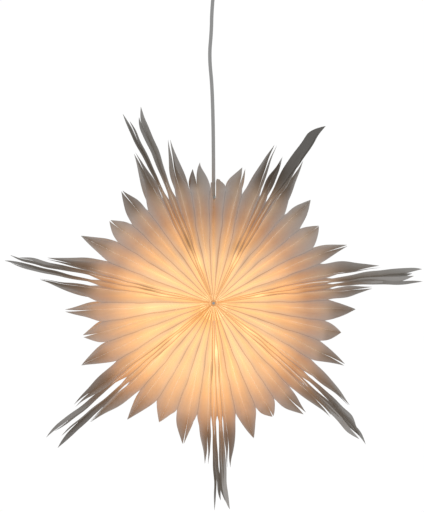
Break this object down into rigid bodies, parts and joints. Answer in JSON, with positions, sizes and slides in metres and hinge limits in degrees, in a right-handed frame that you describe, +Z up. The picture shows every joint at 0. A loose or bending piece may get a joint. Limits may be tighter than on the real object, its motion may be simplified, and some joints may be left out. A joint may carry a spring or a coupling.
{
  "type": "paper snowflake star",
  "caption": "Pleated paper snowflake star lantern with long and short pointed leaves, folding like a fan, lit from inside and hung on its lamp cord.",
  "frame": {"origin": "centre of the ceiling plate's top face", "axes": "+Z up, -Y towards the viewer, +X to the viewer's right"},
  "size_m": [0.6877, 0.161, 0.9246],
  "materials": {
    "paper": "matte",
    "white_plastic": "satin",
    "cord_plastic": "matte",
    "steel": "satin",
    "brass": "satin",
    "insulator": "matte",
    "opal_glass": "satin"
  },
  "bodies": {
    "ceiling_fitting": {"ceiling_plate": "steel", "ceiling_cup": "white_plastic", "cup_screws": "steel", "terminal_block": "white_plastic", "outlet_bush": "white_plastic", "outlet_nut": "white_plastic"},
    "swivel": {"swivel_ball": "white_plastic"},
    "pendulum": {"cord_grip": "white_plastic", "cord": "cord_plastic", "holder_cap": "white_plastic", "holder_body": "white_plastic", "holder_insert": "white_plastic", "thread_shell": "brass", "shade_ring": "white_plastic"},
    "bulb_tip": {"bulb_contact": "brass"},
    "bulb": {"bulb_screw_cap": "brass", "bulb_insulator": "insulator", "bulb_neck": "white_plastic", "bulb_globe": "opal_glass"},
    "yoke": {"hanger_disc": "steel", "yoke_wires": "steel", "front_spool": "white_plastic", "rear_spool": "white_plastic", "bag_core_lower": "paper"},
    "bag_lower_1": {"bag_lower_1": "paper"},
    "bag_lower_2": {"bag_lower_2": "paper"},
    "bag_lower_3": {"bag_lower_3": "paper"},
    "bag_lower_4": {"bag_lower_4": "paper"},
    "bag_core_lower_right": {"bag_core_lower_right": "paper"},
    "bag_lower_right_1": {"bag_lower_right_1": "paper"},
    "bag_lower_right_2": {"bag_lower_right_2": "paper"},
    "bag_lower_right_3": {"bag_lower_right_3": "paper"},
    "bag_lower_right_4": {"bag_lower_right_4": "paper"},
    "bag_core_right": {"bag_core_right": "paper"},
    "bag_right_1": {"bag_right_1": "paper"},
    "bag_right_2": {"bag_right_2": "paper"},
    "bag_right_3": {"bag_right_3": "paper"},
    "bag_right_4": {"bag_right_4": "paper"},
    "bag_core_upper_right": {"bag_core_upper_right": "paper"},
    "bag_upper_right_a_1": {"bag_upper_right_a_1": "paper"},
    "bag_upper_right_a_2": {"bag_upper_right_a_2": "paper", "seam_magnets_right": "steel"},
    "bag_upper_right_b_1": {"bag_upper_right_b_1": "paper", "seam_magnets_left": "steel"},
    "bag_upper_right_b_2": {"bag_upper_right_b_2": "paper"},
    "bag_core_upper_left": {"bag_core_upper_left": "paper"},
    "bag_upper_left_1": {"bag_upper_left_1": "paper"},
    "bag_upper_left_2": {"bag_upper_left_2": "paper"},
    "bag_upper_left_3": {"bag_upper_left_3": "paper"},
    "bag_upper_left_4": {"bag_upper_left_4": "paper"},
    "bag_core_left": {"bag_core_left": "paper"},
    "bag_left_1": {"bag_left_1": "paper"},
    "bag_left_2": {"bag_left_2": "paper"},
    "bag_left_3": {"bag_left_3": "paper"},
    "bag_left_4": {"bag_left_4": "paper"},
    "bag_core_lower_left": {"bag_core_lower_left": "paper"},
    "bag_lower_left_1": {"bag_lower_left_1": "paper"},
    "bag_lower_left_2": {"bag_lower_left_2": "paper"},
    "bag_lower_left_3": {"bag_lower_left_3": "paper"},
    "bag_lower_left_4": {"bag_lower_left_4": "paper"}
  },
  "joints": [
    {"name": "swing_fore", "type": "hinge", "parent": "ceiling_fitting", "child": "swivel", "pos_m": [0, 0, -0.052], "axis": [1, 0, 0], "range_deg": [-25, 25]},
    {"name": "swing_side", "type": "hinge", "parent": "swivel", "child": "pendulum", "pos_m": [0, 0, -0.052], "axis": [0, 1, 0], "range_deg": [-25, 25]},
    {"name": "star_turn", "type": "hinge", "parent": "pendulum", "child": "yoke", "pos_m": [0, 0, -0.575], "axis": [0, 0, 1], "continuous": true},
    {"name": "bulb_travel", "type": "slide", "parent": "pendulum", "child": "bulb_tip", "axis": [0, 0, -1], "range_m": [0, 0.0085]},
    {"name": "bulb_screw", "type": "hinge", "parent": "bulb_tip", "child": "bulb", "pos_m": [0, 0, -0.575], "axis": [0, 0, -1], "range_deg": [0, 1080]},
    {"name": "fan_fold", "type": "hinge", "parent": "yoke", "child": "bag_upper_right_a_2", "pos_m": [0, 0, -0.575], "axis": [0, 1, 0], "range_deg": [0, 160.59], "deforming": ["bag_core_lower", "bag_lower_1", "bag_lower_2", "bag_lower_3", "bag_lower_4", "bag_core_lower_right", "bag_lower_right_1", "bag_lower_right_2", "bag_lower_right_3", "bag_lower_right_4", "bag_core_right", "bag_right_1", "bag_right_2", "bag_right_3", "bag_right_4", "bag_core_upper_right", "bag_upper_right_a_1", "bag_upper_right_a_2", "bag_upper_right_b_1", "bag_upper_right_b_2", "bag_core_upper_left", "bag_upper_left_1", "bag_upper_left_2", "bag_upper_left_3", "bag_upper_left_4", "bag_core_left", "bag_left_1", "bag_left_2", "bag_left_3", "bag_left_4", "bag_core_lower_left", "bag_lower_left_1", "bag_lower_left_2", "bag_lower_left_3", "bag_lower_left_4"]},
    {"name": "fold_lower_1", "type": "hinge", "parent": "yoke", "child": "bag_lower_1", "pos_m": [0, 0, -0.575], "axis": [0, 1, 0], "range_deg": [0, 10.45]},
    {"name": "fold_lower_2", "type": "hinge", "parent": "yoke", "child": "bag_lower_2", "pos_m": [0, 0, -0.575], "axis": [0, 1, 0], "range_deg": [0, 19.69]},
    {"name": "fold_lower_3", "type": "hinge", "parent": "yoke", "child": "bag_lower_3", "pos_m": [0, 0, -0.575], "axis": [0, 1, 0], "range_deg": [0, 28.93]},
    {"name": "fold_lower_4", "type": "hinge", "parent": "yoke", "child": "bag_lower_4", "pos_m": [0, 0, -0.575], "axis": [0, 1, 0], "range_deg": [0, 38.17]},
    {"name": "fold_core_lower_right", "type": "hinge", "parent": "yoke", "child": "bag_core_lower_right", "pos_m": [0, 0, -0.575], "axis": [0, 1, 0], "range_deg": [0, 47.22]},
    {"name": "fold_lower_right_1", "type": "hinge", "parent": "yoke", "child": "bag_lower_right_1", "pos_m": [0, 0, -0.575], "axis": [0, 1, 0], "range_deg": [0, 56.23]},
    {"name": "fold_lower_right_2", "type": "hinge", "parent": "yoke", "child": "bag_lower_right_2", "pos_m": [0, 0, -0.575], "axis": [0, 1, 0], "range_deg": [0, 65.4]},
    {"name": "fold_lower_right_3", "type": "hinge", "parent": "yoke", "child": "bag_lower_right_3", "pos_m": [0, 0, -0.575], "axis": [0, 1, 0], "range_deg": [0, 74.57]},
    {"name": "fold_lower_right_4", "type": "hinge", "parent": "yoke", "child": "bag_lower_right_4", "pos_m": [0, 0, -0.575], "axis": [0, 1, 0], "range_deg": [0, 83.74]},
    {"name": "fold_core_right", "type": "hinge", "parent": "yoke", "child": "bag_core_right", "pos_m": [0, 0, -0.575], "axis": [0, 1, 0], "range_deg": [0, 92.76]},
    {"name": "fold_right_1", "type": "hinge", "parent": "yoke", "child": "bag_right_1", "pos_m": [0, 0, -0.575], "axis": [0, 1, 0], "range_deg": [0, 102.13]},
    {"name": "fold_right_2", "type": "hinge", "parent": "yoke", "child": "bag_right_2", "pos_m": [0, 0, -0.575], "axis": [0, 1, 0], "range_deg": [0, 112.01]},
    {"name": "fold_right_3", "type": "hinge", "parent": "yoke", "child": "bag_right_3", "pos_m": [0, 0, -0.575], "axis": [0, 1, 0], "range_deg": [0, 121.89]},
    {"name": "fold_right_4", "type": "hinge", "parent": "yoke", "child": "bag_right_4", "pos_m": [0, 0, -0.575], "axis": [0, 1, 0], "range_deg": [0, 131.78]},
    {"name": "fold_core_upper_right", "type": "hinge", "parent": "yoke", "child": "bag_core_upper_right", "pos_m": [0, 0, -0.575], "axis": [0, 1, 0], "range_deg": [0, 141.15]},
    {"name": "fold_upper_right_a_1", "type": "hinge", "parent": "yoke", "child": "bag_upper_right_a_1", "pos_m": [0, 0, -0.575], "axis": [0, 1, 0], "range_deg": [0, 150.59]},
    {"name": "fold_upper_right_b_1", "type": "hinge", "parent": "yoke", "child": "bag_upper_right_b_1", "pos_m": [0, 0, -0.575], "axis": [0, 1, 0], "range_deg": [-161.39, 0]},
    {"name": "fold_upper_right_b_2", "type": "hinge", "parent": "yoke", "child": "bag_upper_right_b_2", "pos_m": [0, 0, -0.575], "axis": [0, 1, 0], "range_deg": [-152.93, 0]},
    {"name": "fold_core_upper_left", "type": "hinge", "parent": "yoke", "child": "bag_core_upper_left", "pos_m": [0, 0, -0.575], "axis": [0, 1, 0], "range_deg": [-144.28, 0]},
    {"name": "fold_upper_left_1", "type": "hinge", "parent": "yoke", "child": "bag_upper_left_1", "pos_m": [0, 0, -0.575], "axis": [0, 1, 0], "range_deg": [-134.51, 0]},
    {"name": "fold_upper_left_2", "type": "hinge", "parent": "yoke", "child": "bag_upper_left_2", "pos_m": [0, 0, -0.575], "axis": [0, 1, 0], "range_deg": [-123.85, 0]},
    {"name": "fold_upper_left_3", "type": "hinge", "parent": "yoke", "child": "bag_upper_left_3", "pos_m": [0, 0, -0.575], "axis": [0, 1, 0], "range_deg": [-113.18, 0]},
    {"name": "fold_upper_left_4", "type": "hinge", "parent": "yoke", "child": "bag_upper_left_4", "pos_m": [0, 0, -0.575], "axis": [0, 1, 0], "range_deg": [-102.52, 0]},
    {"name": "fold_core_left", "type": "hinge", "parent": "yoke", "child": "bag_core_left", "pos_m": [0, 0, -0.575], "axis": [0, 1, 0], "range_deg": [-92.76, 0]},
    {"name": "fold_left_1", "type": "hinge", "parent": "yoke", "child": "bag_left_1", "pos_m": [0, 0, -0.575], "axis": [0, 1, 0], "range_deg": [-83.56, 0]},
    {"name": "fold_left_2", "type": "hinge", "parent": "yoke", "child": "bag_left_2", "pos_m": [0, 0, -0.575], "axis": [0, 1, 0], "range_deg": [-74.02, 0]},
    {"name": "fold_left_3", "type": "hinge", "parent": "yoke", "child": "bag_left_3", "pos_m": [0, 0, -0.575], "axis": [0, 1, 0], "range_deg": [-64.48, 0]},
    {"name": "fold_left_4", "type": "hinge", "parent": "yoke", "child": "bag_left_4", "pos_m": [0, 0, -0.575], "axis": [0, 1, 0], "range_deg": [-54.94, 0]},
    {"name": "fold_core_lower_left", "type": "hinge", "parent": "yoke", "child": "bag_core_lower_left", "pos_m": [0, 0, -0.575], "axis": [0, 1, 0], "range_deg": [-45.74, 0]},
    {"name": "fold_lower_left_1", "type": "hinge", "parent": "yoke", "child": "bag_lower_left_1", "pos_m": [0, 0, -0.575], "axis": [0, 1, 0], "range_deg": [-36.53, 0]},
    {"name": "fold_lower_left_2", "type": "hinge", "parent": "yoke", "child": "bag_lower_left_2", "pos_m": [0, 0, -0.575], "axis": [0, 1, 0], "range_deg": [-26.97, 0]},
    {"name": "fold_lower_left_3", "type": "hinge", "parent": "yoke", "child": "bag_lower_left_3", "pos_m": [0, 0, -0.575], "axis": [0, 1, 0], "range_deg": [-17.41, 0]},
    {"name": "fold_lower_left_4", "type": "hinge", "parent": "yoke", "child": "bag_lower_left_4", "pos_m": [0, 0, -0.575], "axis": [0, 1, 0], "range_deg": [-7.85, 0]}
  ],
  "couplings": [
    {"joint": "bulb_travel", "follows": "bulb_screw", "m_per_rad": 0.00044882},
    {"joint": "fold_lower_1", "follows": "fan_fold", "ratio": 0.064944},
    {"joint": "fold_lower_2", "follows": "fan_fold", "ratio": 0.12248},
    {"joint": "fold_lower_3", "follows": "fan_fold", "ratio": 0.18001},
    {"joint": "fold_lower_4", "follows": "fan_fold", "ratio": 0.23754},
    {"joint": "fold_core_lower_right", "follows": "fan_fold", "ratio": 0.29389},
    {"joint": "fold_lower_right_1", "follows": "fan_fold", "ratio": 0.35003},
    {"joint": "fold_lower_right_2", "follows": "fan_fold", "ratio": 0.40713},
    {"joint": "fold_lower_right_3", "follows": "fan_fold", "ratio": 0.46423},
    {"joint": "fold_lower_right_4", "follows": "fan_fold", "ratio": 0.52134},
    {"joint": "fold_core_right", "follows": "fan_fold", "ratio": 0.57747},
    {"joint": "fold_right_1", "follows": "fan_fold", "ratio": 0.63583},
    {"joint": "fold_right_2", "follows": "fan_fold", "ratio": 0.69737},
    {"joint": "fold_right_3", "follows": "fan_fold", "ratio": 0.75891},
    {"joint": "fold_right_4", "follows": "fan_fold", "ratio": 0.82046},
    {"joint": "fold_core_upper_right", "follows": "fan_fold", "ratio": 0.87881},
    {"joint": "fold_upper_right_a_1", "follows": "fan_fold", "ratio": 0.9376},
    {"joint": "fold_upper_right_b_1", "follows": "fan_fold", "ratio": -1.0049},
    {"joint": "fold_upper_right_b_2", "follows": "fan_fold", "ratio": -0.95221},
    {"joint": "fold_core_upper_left", "follows": "fan_fold", "ratio": -0.89829},
    {"joint": "fold_upper_left_1", "follows": "fan_fold", "ratio": -0.8375},
    {"joint": "fold_upper_left_2", "follows": "fan_fold", "ratio": -0.77109},
    {"joint": "fold_upper_left_3", "follows": "fan_fold", "ratio": -0.70468},
    {"joint": "fold_upper_left_4", "follows": "fan_fold", "ratio": -0.63826},
    {"joint": "fold_core_left", "follows": "fan_fold", "ratio": -0.57747},
    {"joint": "fold_left_1", "follows": "fan_fold", "ratio": -0.52019},
    {"joint": "fold_left_2", "follows": "fan_fold", "ratio": -0.4608},
    {"joint": "fold_left_3", "follows": "fan_fold", "ratio": -0.4014},
    {"joint": "fold_left_4", "follows": "fan_fold", "ratio": -0.34201},
    {"joint": "fold_core_lower_left", "follows": "fan_fold", "ratio": -0.28473},
    {"joint": "fold_lower_left_1", "follows": "fan_fold", "ratio": -0.22737},
    {"joint": "fold_lower_left_2", "follows": "fan_fold", "ratio": -0.16784},
    {"joint": "fold_lower_left_3", "follows": "fan_fold", "ratio": -0.1083},
    {"joint": "fold_lower_left_4", "follows": "fan_fold", "ratio": -0.04876}
  ]
}
